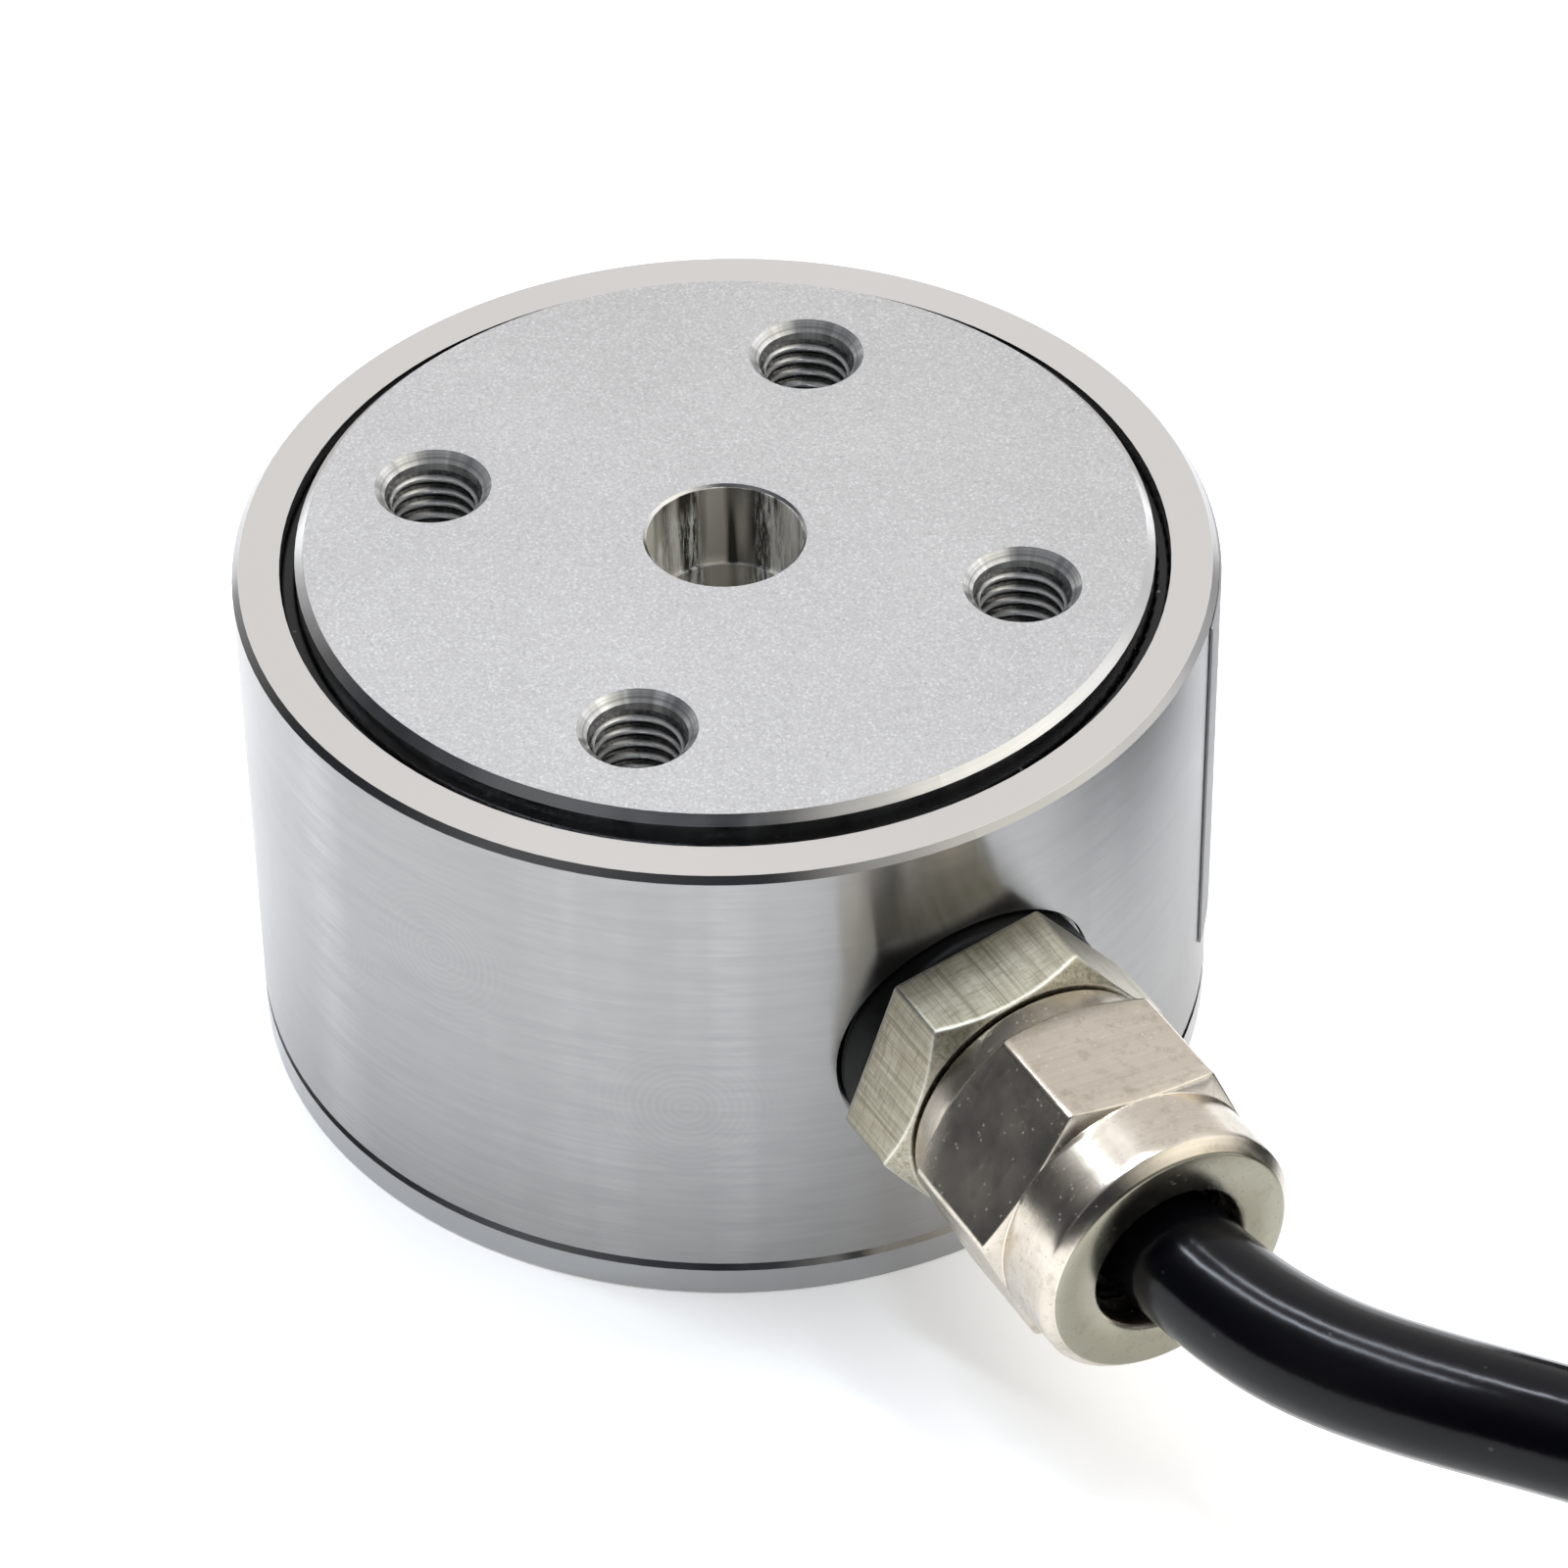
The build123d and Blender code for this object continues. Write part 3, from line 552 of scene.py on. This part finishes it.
def drawnBar(tree, colour):
    # die lines along the bar, and the thread painted near black as shade where it runs between body
    # and nut
    grooves = nickel["grooves"]
    lines = noise(tree, stretch(tree, nickel["dieLines"]), 1.0, 4.0, 0.75)
    deep = noise(tree, stretch(tree, nickel["deepLines"]), 1.0, 2.0, 0.6)
    hatch = noise(tree, stretch(tree, nickel["crossHatch"]), 1.0, 3.0, 0.7)
    colour = layer(tree, colour, lines, 0.44, 0.66, 0.60, grooves)
    colour = layer(tree, colour, deep, 0.56, 0.64, 0.45, grooves)
    colour = layer(tree, colour, hatch, 0.50, 0.68, 0.50, grooves)
    reach = distanceTo(tree, stretch(tree, (0, 1, 1)), (0, 0, nickel["axisHeight"]))
    onThread = maths(tree, "LESS_THAN", reach, nickel["threadRadius"])
    return mixColour(tree, onThread, colour, nickel["threadShade"]), lines


def turnedBar(tree, colour):
    # fine rings, and the front face painted darker as shade
    lines = noise(tree, stretch(tree, nickel["turnedRings"]), 1.0, 3.0, 0.6)
    colour = layer(tree, colour, lines, 0.4, 0.75, 0.14, nickel["grooves"])
    onFace = maths(tree, "GREATER_THAN", axisSplit(tree)["X"], nickel["faceStart"])
    return mixColour(tree, onFace, colour, nickel["faceShade"]), lines


def nickelPlate(name, drawn):
    bright, shade = nickel["drawn" if drawn else "turned"]
    base = nickel["drawnRough" if drawn else "rough"]
    edge = nickel["drawnEdge" if drawn else "edge"]
    material, tree, shader = startMaterial(name, bright, 1.0, nickel["rough"])
    point = objectPoint(tree)
    cloud = noise(tree, point, nickel["clouds"], 4.0, 0.6)
    colour = layer(tree, bright, cloud, 0.35, 0.7, 0.7, shade)
    colour, lines = drawnBar(tree, colour) if drawn else turnedBar(tree, colour)
    stain = noise(tree, point, nickel["stains"], 5.0, 0.7)
    colour = layer(tree, colour, stain, 0.52, 0.72, 0.35, nickel["grooves"])
    strength = nickel["dustStrength"]
    dust = specks(tree, point, nickel["dustGrain"], 0.88, (0.50, 0.20), strength)
    colour = mixColour(tree, dust, colour, nickel["dust"])

    # painted highlight where the surface turns over an edge
    rounded = addNode(tree, "Bevel", {"Radius": edge}, samples=6).outputs[0]
    flat = addNode(tree, "NewGeometry").outputs["Normal"]
    level = vectorMaths(tree, "DOT_PRODUCT", rounded, flat, "Value")
    colour = layer(tree, colour, level, 0.985, 0.90, 0.8, nickel["edgeHighlight"])
    normal = bump(tree, lines, 0.55 if drawn else 0.05, 0.04 * mm, rounded)
    dimples = noise(tree, point, nickel["dimples"], 3.0)
    normal = bump(tree, dimples, 0.12, 0.03 * mm, normal)
    rough = remap(tree, cloud, 0.25, 0.75, base - 0.05, base + 0.08)
    metal = remap(tree, dust, 0.0, strength, 1.0, 0.6)
    join(tree, shader, colour=colour, rough=rough, normal=normal, metal=metal)
    return material


# seals, cable jacket and the small pieces

seal = {
    "colour": (0.004, 0.004, 0.004),
    "dust": (0.30, 0.29, 0.27),
    "dustGrain": 2300,
    "clouds": 300,
    "rough": 0.22,
    "specular": 0.30,
}


def sealRubber():
    material, tree, shader = startMaterial("sealRubber", seal["colour"], 0.0, seal["rough"])
    shader.inputs["Specular IOR Level"].default_value = seal["specular"]
    point = objectPoint(tree)
    dust = specks(tree, point, seal["dustGrain"], 0.975, (0.32, 0.12))
    cloud = noise(tree, point, seal["clouds"], 3.0)
    join(
        tree, shader,
        colour=mixColour(tree, dust, seal["colour"], seal["dust"]),
        rough=remap(tree, cloud, 0.3, 0.7, 0.16, 0.34),
        normal=bump(tree, cloud, 0.15, 0.1 * mm),
    )
    return material


def plainRubber(name, colour, rough):
    material, tree, shader = startMaterial(name, colour, 0.0, rough)
    shader.inputs["Specular IOR Level"].default_value = 0.15
    cloud = noise(tree, objectPoint(tree), 900, 4.0)
    tint = mixColour(tree, remap(tree, cloud, 0.3, 0.7), dim(colour, 0.7), colour)
    join(tree, shader, colour=tint, normal=bump(tree, cloud, 0.2, 0.05 * mm))
    return material


jacket = {
    "colour": (0.0022, 0.0022, 0.0034),
    "dust": (0.16, 0.16, 0.16),
    "dustGrain": 1500,
    "clouds": 160,
    "fineGrain": 2400,
    "rough": 0.16,
    "specular": 0.21,
}


def jacketPlastic():
    base = jacket["rough"]
    material, tree, shader = startMaterial("jacketPlastic", jacket["colour"], 0.0, base)
    shader.inputs["Specular IOR Level"].default_value = jacket["specular"]
    point = objectPoint(tree)
    cloud = noise(tree, point, jacket["clouds"], 4.0)
    fine = noise(tree, point, jacket["fineGrain"], 2.0)
    dust = specks(tree, point, jacket["dustGrain"], 0.985, (0.25, 0.08))
    waves = bump(tree, cloud, 0.22, 0.25 * mm)
    join(
        tree, shader,
        colour=mixColour(tree, dust, jacket["colour"], jacket["dust"]),
        rough=remap(tree, cloud, 0.3, 0.7, base - 0.04, base + 0.07),
        normal=bump(tree, fine, 0.05, 0.03 * mm, waves),
    )
    return material


def mouldedPlastic(name, colour, rough, grain):
    material, tree, shader = startMaterial(name, colour, 0.0, rough)
    point = objectPoint(tree)
    fine = noise(tree, point, grain, 3.0)
    cloud = noise(tree, point, 150, 3.0)
    join(
        tree, shader,
        colour=mixColour(tree, remap(tree, cloud, 0.3, 0.7), dim(colour, 0.88), colour),
        rough=remap(tree, fine, 0.3, 0.7, rough - 0.06, rough + 0.06),
        normal=bump(tree, fine, 0.12, 0.04 * mm),
    )
    return material


def drawnMetal(name, colour, rough):
    material, tree, shader = startMaterial(name, colour, 1.0, rough)
    cloud = noise(tree, objectPoint(tree), 1500, 3.0)
    join(
        tree, shader,
        colour=mixColour(tree, cloud, dim(colour, 0.75), colour),
        rough=remap(tree, cloud, 0.3, 0.7, rough - 0.08, rough + 0.1),
        normal=bump(tree, cloud, 0.2, 0.03 * mm),
    )
    return material


foil = {
    "colour": (0.34, 0.34, 0.35),
    "dark": (0.29, 0.29, 0.30),
    "pale": (0.38, 0.38, 0.39),
    "metallic": 0.7,
}


def foilLabel():
    material, tree, shader = startMaterial("foilLabel", foil["colour"], foil["metallic"], 0.45)
    fine = noise(tree, stretch(tree, (90, 90, 4200)), 1.0, 3.0)
    join(
        tree, shader,
        colour=mixColour(tree, fine, foil["dark"], foil["pale"]),
        rough=remap(tree, fine, 0.3, 0.7, 0.42, 0.56),
        normal=bump(tree, fine, 0.15, 0.02 * mm),
    )
    return material


gauge = {
    "colour": (0.55, 0.34, 0.10),
    "dark": (0.48, 0.28, 0.08),
    "pale": (0.60, 0.38, 0.12),
    "rows": 22000,
}


def gaugeFilm():
    material, tree, shader = startMaterial("gaugeFilm", gauge["colour"], 0.0, 0.3)
    rows = maths(tree, "SINE", maths(tree, "MULTIPLY", axisSplit(tree)["Z"], gauge["rows"]))
    fine = noise(tree, objectPoint(tree), 1200, 2.0)
    film = mixColour(tree, fine, gauge["dark"], gauge["pale"])
    join(tree, shader, colour=film, normal=bump(tree, rows, 0.15, 0.02 * mm))
    return material


moulded = {
    # slot: name, colour, roughness, grain
    "claw_nylon": ("clawNylon", (0.03, 0.03, 0.03), 0.45, 1800),
    "tie_nylon": ("tieNylon", (0.72, 0.71, 0.66), 0.38, 1800),
    "shrink_sleeve": ("shrinkSleeve", (0.018, 0.018, 0.018), 0.42, 1800),
    "insulation_red": ("redInsulation", (0.55, 0.025, 0.02), 0.32, 1800),
    "insulation_black": ("blackInsulation", (0.015, 0.015, 0.015), 0.32, 1800),
    "insulation_green": ("greenInsulation", (0.02, 0.30, 0.07), 0.32, 1800),
    "insulation_white": ("whiteInsulation", (0.78, 0.78, 0.75), 0.32, 1800),
    "terminal_pad": ("terminalPad", (0.50, 0.38, 0.16), 0.5, 1800),
    "board_laminate": ("boardLaminate", (0.02, 0.16, 0.08), 0.35, 3000),
    "resistor_body": ("resistorBody", (0.03, 0.03, 0.03), 0.5, 1800),
}
finishes = {
    "element_steel": elementSteel(),
    "sleeve_steel": sleeveSteel(),
    "seal_rubber": sealRubber(),
    "gland_rubber": plainRubber("glandRubber", (0.004, 0.004, 0.004), 0.40),
    "jacket": jacketPlastic(),
    "tinned_copper": drawnMetal("tinnedCopper", (0.66, 0.64, 0.60), 0.35),
    "gauge_foil": gaugeFilm(),
    "wire_enamel": drawnMetal("wireEnamel", (0.50, 0.17, 0.06), 0.3),
    "pad_foam": plainRubber("padFoam", (0.10, 0.10, 0.10), 0.85),
    "label_foil": foilLabel(),
}
for slot, row in moulded.items():
    finishes[slot] = mouldedPlastic(*row)
turnedNickel = nickelPlate("turnedNickel", False)
drawnNickel = nickelPlate("drawnNickel", True)

slotOf = {part["node"]: part["material_slot"] for part in frame["record"]["subparts"]}
for name, piece in nodes.items():
    finish = finishes.get(slotOf.get(name), turnedNickel)
    if name == "gland_body":
        finish = drawnNickel
    piece.data.materials.clear()
    piece.data.materials.append(finish)
print("finishes given to", len(nodes), "nodes")


# thread ridges in the tapped holes

thread = {
    "angles": (45, 135, 225, 315),
    "wallRadius": 2.5 * mm,
    "crestRadius": 2.12 * mm,
    "pitch": 0.8 * mm,
    "crest": 0.12 * mm,
    "sunk": 0.02 * mm,  # how far the ridge reaches into the hole's wall
    "rootShare": 0.44,
    "runOut": 16,  # steps over which a ridge rises and fades
    "steps": 48,  # steps a turn
    "top": (28.75 * mm, 23.9 * mm),
    "base": (0.45 * mm, 6.1 * mm),
    "colour": (0.80, 0.80, 0.79),
    # crest and valley colours: painted highlight on the crests, painted shade in the valleys
    "crestHighlight": (0.95, 0.95, 0.94),
    "valleyShade": (0.03, 0.03, 0.03),
    "smearColour": (0.30, 0.30, 0.29),
    "metallic": 0.72,
}


def cutSteel():
    base, metallic, crest = thread["colour"], thread["metallic"], thread["crestRadius"]
    material, tree, shader = startMaterial("threadSteel", base, metallic, 0.16)
    reach = radiusOf(tree, fromHole(tree))
    depth = remap(tree, reach, crest + 0.01 * mm, crest + 0.17 * mm)
    fine = noise(tree, objectPoint(tree), 5000, 2.0)
    # crests painted bright as highlight, valleys painted near black as shade
    colour = mixColour(tree, depth, thread["crestHighlight"], thread["valleyShade"])
    join(
        tree, shader,
        colour=layer(tree, colour, fine, 0.4, 0.7, 0.3, thread["smearColour"]),
        rough=remap(tree, fine, 0.3, 0.7, 0.12, 0.24),
        normal=bump(tree, fine, 0.08, 0.02 * mm),
    )
    return material


def threadRidge(name, x, y, start, end, finish):
    pitch, steps, sunk = thread["pitch"], thread["steps"], thread["sunk"]
    down = 1 if end > start else -1
    rootHalf = pitch * thread["rootShare"]
    shoulder = thread["crest"] * 0.75
    outer = thread["wallRadius"] + sunk
    section = [
        (outer, -rootHalf),
        (thread["crestRadius"] + sunk, -shoulder),
        (thread["crestRadius"], 0),
        (thread["crestRadius"] + sunk, shoulder),
        (outer, rootHalf),
    ]
    count = int((abs(end - start) / pitch - 1) * steps)
    points, faces = [], []
    for step in range(count + 1):
        turn = down * 2 * math.pi * step / steps
        height = start + down * (rootHalf + pitch * step / steps)
        rise = min(1.0, step / thread["runOut"], (count - step) / thread["runOut"])
        for radius, offset in section:
            reach = outer - (outer - radius) * rise
            points.append((x + reach * math.cos(turn), y + reach * math.sin(turn), height + offset))
    ring = len(section)
    for step in range(count):
        for place in range(ring - 1):
            first = step * ring + place
            faces.append((first, first + 1, first + ring + 1, first + ring))
    mesh = bpy.data.meshes.new(name)
    mesh.from_pydata(points, [], faces)
    mesh.update()
    for face in mesh.polygons:
        face.use_smooth = True
    mesh.materials.append(finish)
    ridge = bpy.data.objects.new(name, mesh)
    bpy.context.scene.collection.objects.link(ridge)
    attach(ridge, "root")


threadSteel = cutSteel()
for number, angle in enumerate(thread["angles"], 1):
    x = steel["holeCircle"] * math.cos(math.radians(angle))
    y = steel["holeCircle"] * math.sin(math.radians(angle))
    threadRidge(f"topThread{number}", x, y, *thread["top"], threadSteel)
    threadRidge(f"baseThread{number}", x, y, *thread["base"], threadSteel)
print("threads cut")


# dome nut: collar, hexagon with turned corners, and a bevelled front, in millimetres

domeNut = {
    "axis": (25.0, 0.0, 15.06),
    "turn": 53.0,
    "flat": 7.0,
    "corner": 8.03,
    "cornerRound": 0.30,
    "collar": 6.88,
    "stations": {
        "back": 5.75, "collarEnd": 7.23, "hexBack": 7.9, "threadEnd": 12.4,
        "hexFront": 13.97, "shoulder": 14.25, "innerWall": 16.2, "front": 18.3,
    },
    "frontRadius": 6.95,
    "frontBevel": 0.62,
    "radii": {"bore": 6.0, "coneBack": 5.1, "coneFront": 4.35, "mouth": 4.04},
    "mouthChamfer": 0.25,
    "edge": 0.08,  # how far each edge is broken
    "columns": 360,
    "sharpAngle": 50,
}


def hexReach(angle):
    # distance from the axis to a rounded hexagon's side
    fromCorner = math.radians(abs((angle - domeNut["turn"] + 30) % 60 - 30))
    halfSide = math.radians(30)
    bend = domeNut["cornerRound"]
    centre = (domeNut["flat"] - bend) / math.cos(halfSide)
    touch = math.atan2(bend * math.sin(halfSide), centre + bend * math.cos(halfSide))
    if fromCorner > touch:
        reach = domeNut["flat"] / math.cos(halfSide - fromCorner)
    else:
        inset = centre * math.sin(fromCorner)
        reach = centre * math.cos(fromCorner) + math.sqrt(bend ** 2 - inset ** 2)
    return min(reach, domeNut["corner"])


def nutSection(reach):
    # half section of the nut where its hexagon reaches this far, from back to front
    at, radii, edge = domeNut["stations"], domeNut["radii"], domeNut["edge"]
    collar, corner, front = domeNut["collar"], domeNut["corner"], domeNut["frontRadius"]
    rise = (corner - collar) / (at["hexBack"] - at["collarEnd"])
    drop = (corner - front) / (at["shoulder"] - at["hexFront"])
    begin = at["collarEnd"] + (reach - collar) / rise
    end = at["hexFront"] + (corner - reach) / drop
    section = [
        (at["back"], radii["bore"]),
        (at["back"], collar - 2 * edge),
        (at["back"] + edge * 0.6, collar - edge * 0.6),
        (at["back"] + 2 * edge, collar),
        (at["collarEnd"] - edge, collar),
        (at["collarEnd"] + edge * 0.2, collar + edge * 0.2 * rise),
        (begin - edge * 0.8, reach - edge * 0.8 * rise),
        (begin, reach - edge * 0.25),
        (begin + edge, reach),
    ]
    flat = end - begin - 2 * edge
    section += [(begin + edge + flat * share, reach) for share in (0.2, 0.4, 0.6, 0.8)]
    foot = max(front, reach - edge)
    section += [
        (end - edge, reach),
        (end - edge * 0.2, reach - edge * 0.2),
        (end + (reach - foot) / drop, foot),
        (at["shoulder"] + 0.01, front),
        (at["shoulder"] + 0.2, front),
    ]
    bevel, tip = domeNut["frontBevel"], at["front"]
    length = tip - bevel - at["shoulder"]
    section += [(at["shoulder"] + length * share, front) for share in (0.3, 0.6, 0.85)]
    section += [
        (tip - bevel - edge, front),
        (tip - bevel + edge * 0.1, front - edge * 0.35),
        (tip - bevel + edge * 0.9, front - edge * 0.9),
        (tip - edge * 1.2, front - bevel + edge * 1.2),
        (tip - edge * 0.35, front - bevel - edge * 0.1),
        (tip, front - bevel - edge),
        (tip, radii["mouth"] + domeNut["mouthChamfer"]),
        (tip - domeNut["mouthChamfer"], radii["mouth"]),
        (at["innerWall"], radii["mouth"]),
        (at["innerWall"], radii["coneFront"]),
        (at["threadEnd"], radii["coneBack"]),
        (at["threadEnd"], radii["bore"]),
    ]
    return section


def turnNut():
    made = bmesh.new()
    axis = domeNut["axis"]
    columns = []
    for number in range(domeNut["columns"]):
        angle = 360 * number / domeNut["columns"]
        across, up = math.cos(math.radians(angle)), math.sin(math.radians(angle))
        columns.append([
            made.verts.new(Vector((axis[0] + x, axis[1] + r * across, axis[2] + r * up)) * mm)
            for x, r in nutSection(hexReach(angle))
        ])
    for number, column in enumerate(columns):
        after = columns[(number + 1) % len(columns)]
        for place in range(len(column)):
            ahead = (place + 1) % len(column)
            made.faces.new((column[place], after[place], after[ahead], column[ahead]))
    bmesh.ops.recalc_face_normals(made, faces=made.faces)
    mesh = bpy.data.meshes.new("domeNut")
    made.to_mesh(mesh)
    made.free()
    mesh.polygons.foreach_set("use_smooth", [True] * len(mesh.polygons))
    mesh.set_sharp_from_angle(angle=math.radians(domeNut["sharpAngle"]))
    mesh.materials.append(turnedNickel)
    nut = bpy.data.objects.new("domeNut", mesh)
    bpy.context.scene.collection.objects.link(nut)
    weighted = nut.modifiers.new("evenShading", "WEIGHTED_NORMAL")
    weighted.keep_sharp = True
    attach(nut, "root")
    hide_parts("dome_nut")


turnNut()
print("dome nut turned")


# signal cable: out of the gland, down to the floor and into its coil

cable = {
    "diameter": 6.2 * mm,
    "exit": (40.4, 0.0, 15.06),
    "route": [
        (40.4, 0.0, 15.06), (44.2, 0.45, 15.06), (48.4, 1.15, 15.05),
        (52.4, 2.75, 15.0), (56.4, 5.55, 14.9), (60.5, 9.4, 14.5),
        (66.8, 15.6, 13.4), (72.1, 22.9, 11.7), (76.4, 30.9, 9.4),
        (79.9, 39.0, 6.85), (82.6, 47.0, 4.7), (83.7, 52.7, 3.95),
        (83.7, 59.0, 3.95),
    ],
    "coilCentre": (42.0, 83.5),
    "turns": (41.7, 35.5, 29.3),
    "layers": (4.2, 10.4, 16.6),
    "stepAngle": 15,
    "crossAngle": 315,  # from here each turn moves over to the next
    "lastAngle": 120,
    "length": 1.99,
    "withPieces": (
        "coil_tie_1", "coil_tie_2", "end_sleeve",
        "lead_red", "lead_black", "lead_green", "lead_white", "lead_shield",
    ),
}


def coilPoints():
    outer, middle, inner = cable["turns"]
    low, mid, high = cable["layers"]
    plan = [
        # radius and the next one, height and the next one
        (outer, middle, low, low), (middle, inner, low, low), (inner, inner, low, mid),
        (inner, middle, mid, mid), (middle, outer, mid, mid), (outer, outer, mid, high),
        (outer, middle, high, high), (middle, inner, high, high), (inner, inner, high, high),
    ]
    step, cross = cable["stepAngle"], cable["crossAngle"]
    grow = 1 / math.cos(math.radians(step / 2))
    points = []
    for number, (radius, nextRadius, height, nextHeight) in enumerate(plan, 1):
        last = cable["lastAngle"] if number == len(plan) else 360 - step
        for angle in range(0, last + 1, step):
            share = max(0.0, (angle - cross) / (360 - cross))
            share = share * share * (3 - 2 * share)
            reach = (radius + (nextRadius - radius) * share) * grow
            way = math.radians(angle)
            points.append((
                cable["coilCentre"][0] + reach * math.cos(way),
                cable["coilCentre"][1] + reach * math.sin(way),
                height + (nextHeight - height) * share,
            ))
    return points


def layCable():
    route = [Vector(place) * mm for place in cable["route"] + coilPoints()]
    data = bpy.data.curves.new("signalCable", "CURVE")
    data.dimensions = "3D"
    line = data.splines.new("NURBS")
    line.points.add(len(route) - 1)
    for point, place in zip(line.points, route):
        point.co = (*place, 1)
    line.order_u = 3
    line.use_endpoint_u = True
    line.resolution_u = 6
    data.bevel_depth = cable["diameter"] / 2
    data.bevel_resolution = 7
    data.use_fill_caps = True
    data.materials.append(finishes["jacket"])
    piece = bpy.data.objects.new("signalCable", data)
    bpy.context.scene.collection.objects.link(piece)
    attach(piece, "root")
    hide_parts("signal_cable", "cable_coil")


layCable()
print("cable laid")
